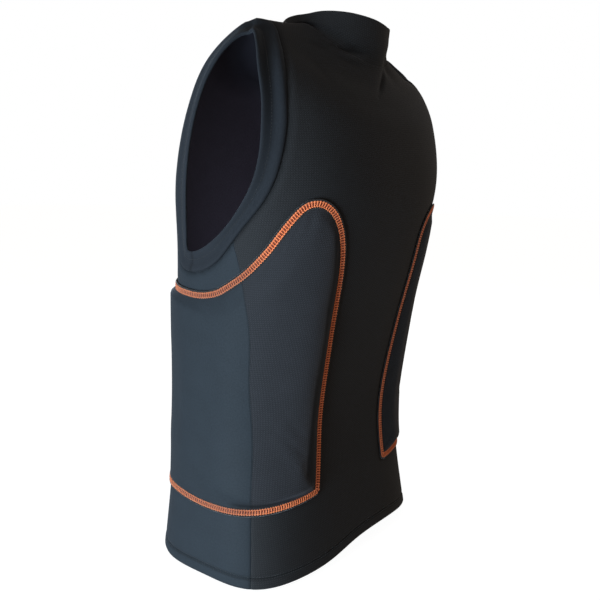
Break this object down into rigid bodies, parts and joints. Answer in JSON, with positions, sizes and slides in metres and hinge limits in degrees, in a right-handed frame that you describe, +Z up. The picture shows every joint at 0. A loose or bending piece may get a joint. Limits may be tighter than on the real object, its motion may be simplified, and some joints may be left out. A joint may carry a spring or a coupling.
{
  "type": "body protector",
  "caption": "Sleeveless pull-over body protector of black stretch fabric, with a foam pad over the ribs on each side, bound armholes, a low soft collar and orange seams.",
  "frame": {"origin": "midway between the tops of the two shoulders, where the vest hangs on its wearer", "axes": "+Z up along the wearer's spine, -Y the way the wearer faces, +X the wearer's left"},
  "size_m": [0.3464, 0.252, 0.6283],
  "materials": {
    "smooth_fabric": "smooth black stretch fabric with a faint cool sheen",
    "knit_fabric": "matt black fine knit",
    "binding_fabric": "folded black stretch binding, topstitched",
    "pad_fabric": "black stretch fabric drawn over foam, sewn round with orange flat seams",
    "orange_thread": "orange polyester thread"
  },
  "bodies": {
    "root": {"front_panel": "smooth_fabric", "back_panel": "knit_fabric", "collar": "knit_fabric", "armhole_band_left": "binding_fabric", "armhole_band_right": "binding_fabric", "side_pad_left": "pad_fabric", "side_pad_right": "pad_fabric"}
  },
  "joints": []
}
